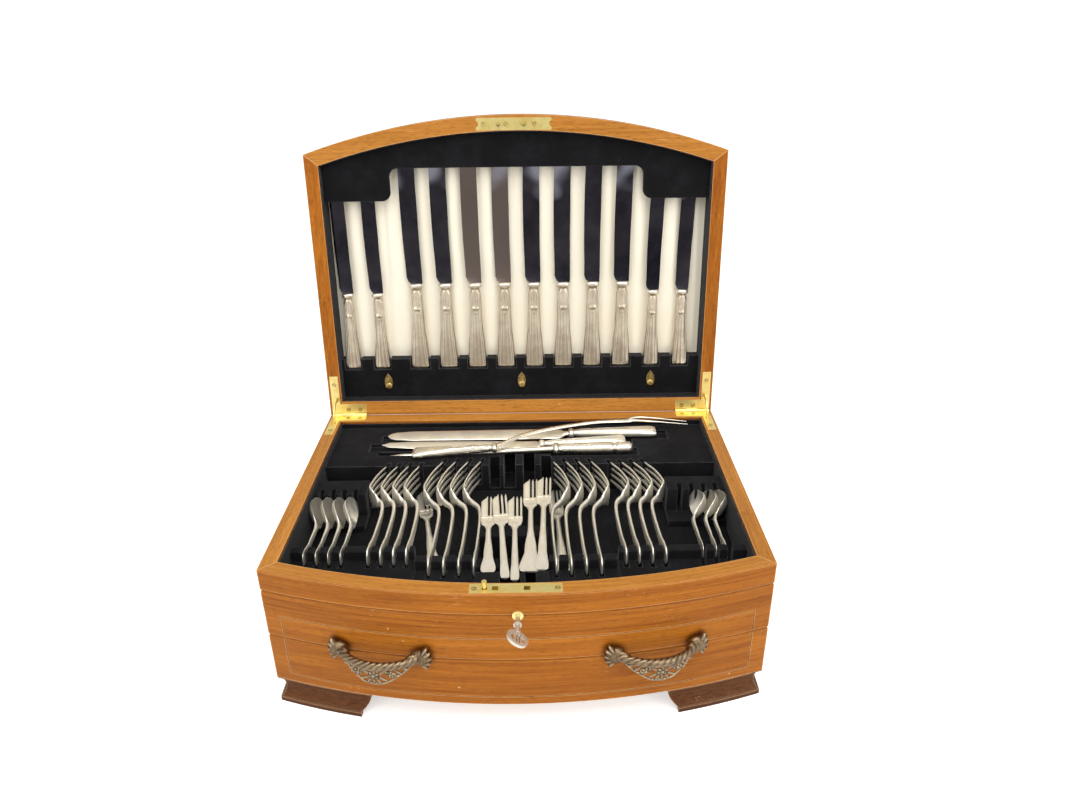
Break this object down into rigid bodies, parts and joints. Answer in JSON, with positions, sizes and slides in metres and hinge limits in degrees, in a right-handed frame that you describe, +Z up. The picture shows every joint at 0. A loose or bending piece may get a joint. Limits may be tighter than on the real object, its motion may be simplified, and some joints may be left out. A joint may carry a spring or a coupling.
{
  "type": "silverware chest",
  "caption": "Bow-front wooden silverware chest on bracket feet, with a hinged lid, a drawer, a lock and velvet racks of cutlery.",
  "frame": {"origin": "on the floor, under the middle of the open chest's bounding box", "axes": "+Z up, the bowed front with the drawer and key faces -Y, +X to the right as seen from the front"},
  "size_m": [0.43, 0.4154, 0.4619],
  "materials": {
    "veneer": "satin varnish",
    "foot_wood": "satin varnish",
    "inner_wood": "bare",
    "brass": "polished",
    "bronze": "dark patina",
    "key_steel": "satin",
    "velvet": "matt pile",
    "satin": "satin weave",
    "blade_steel": "polished",
    "silver": "polished"
  },
  "bodies": {
    "case": {"back_board": "veneer", "bottom_board": "inner_wood", "carving_fork": "silver", "carving_knife": "silver", "case_hinge_leaves": "brass", "dessert_forks": "silver", "drawer_runners": "inner_wood", "foot_front_left": "foot_wood", "foot_front_right": "foot_wood", "foot_rear_left": "foot_wood", "foot_rear_right": "foot_wood", "front_frame": "veneer", "front_racks": "velvet", "game_knife": "silver", "keyhole_bush": "brass", "lock_case": "brass", "lock_plate": "brass", "pastry_forks": "silver", "pastry_rack": "velvet", "rear_shelf": "velvet", "sharpening_steel": "silver", "side_left": "veneer", "side_right": "veneer", "spoon_racks": "velvet", "table_forks": "silver", "teaspoons": "silver", "tray_floor": "inner_wood", "tray_lining": "velvet"},
    "lid": {"lid_front_rail": "veneer", "lid_side_left": "veneer", "lid_side_right": "veneer", "lid_back_rail": "veneer", "lid_top_panel": "veneer", "lid_hinge_leaves": "brass", "strike_plate": "brass", "satin_lining": "satin", "lid_wall_pads": "velvet", "knife_bar": "velvet", "bridge_board": "velvet", "knife_handles": "silver", "knife_blades": "blade_steel"},
    "quadrant_left": {"quadrant_link_left": "brass"},
    "quadrant_right": {"quadrant_link_right": "brass"},
    "drawer": {"drawer_front": "veneer", "drawer_sides": "inner_wood", "drawer_back": "inner_wood", "drawer_bottom": "inner_wood", "drawer_lining": "velvet", "cast_pulls": "bronze"},
    "key": {"key": "key_steel"},
    "bolt": {"lock_bolt": "brass"},
    "interlock": {"interlock_pin": "brass"},
    "clip_left": {"turn_clip_left": "brass"},
    "clip_centre": {"turn_clip_centre": "brass"},
    "clip_right": {"turn_clip_right": "brass"}
  },
  "joints": [
    {"name": "lid_hinge", "type": "hinge", "parent": "case", "child": "lid", "pos_m": [0, 0.147, 0.14415], "axis": [-1, 0, 0], "range_deg": [-95, 0]},
    {"name": "quadrant_left_turn", "type": "hinge", "parent": "case", "child": "quadrant_left", "pos_m": [0, 0.147, 0.14415], "axis": [-1, 0, 0], "range_deg": [-47.6, 0]},
    {"name": "quadrant_right_turn", "type": "hinge", "parent": "case", "child": "quadrant_right", "pos_m": [0, 0.147, 0.14415], "axis": [-1, 0, 0], "range_deg": [-47.6, 0]},
    {"name": "drawer_slide", "type": "slide", "parent": "case", "child": "drawer", "axis": [0, -1, 0], "range_m": [0, 0.2]},
    {"name": "key_turn", "type": "hinge", "parent": "case", "child": "key", "pos_m": [0.0008, -0.172, 0.124], "axis": [0, -1, 0], "range_deg": [0, 180]},
    {"name": "bolt_slide", "type": "slide", "parent": "case", "child": "bolt", "axis": [1, 0, 0], "range_m": [0, 0.00461]},
    {"name": "interlock_slide", "type": "slide", "parent": "case", "child": "interlock", "axis": [0, 0, 1], "range_m": [-0.00701, 0]},
    {"name": "clip_left_turn", "type": "hinge", "parent": "lid", "child": "clip_left", "pos_m": [-0.149, 0.16146, 0.1735], "axis": [0, -0.9962, 0.0872], "range_deg": [-90, 90]},
    {"name": "clip_centre_turn", "type": "hinge", "parent": "lid", "child": "clip_centre", "pos_m": [0.0013, 0.16146, 0.1735], "axis": [0, -0.9962, 0.0872], "range_deg": [-90, 90]},
    {"name": "clip_right_turn", "type": "hinge", "parent": "lid", "child": "clip_right", "pos_m": [0.1465, 0.16146, 0.1735], "axis": [0, -0.9962, 0.0872], "range_deg": [-90, 90]}
  ],
  "couplings": [
    {"joint": "quadrant_left_turn", "follows": "lid_hinge", "ratio": 0.5},
    {"joint": "quadrant_right_turn", "follows": "lid_hinge", "ratio": 0.5},
    {"joint": "bolt_slide", "follows": "key_turn", "m_per_rad": 0.0014642},
    {"joint": "interlock_slide", "follows": "lid_hinge", "m_per_rad": 0.0042218}
  ]
}
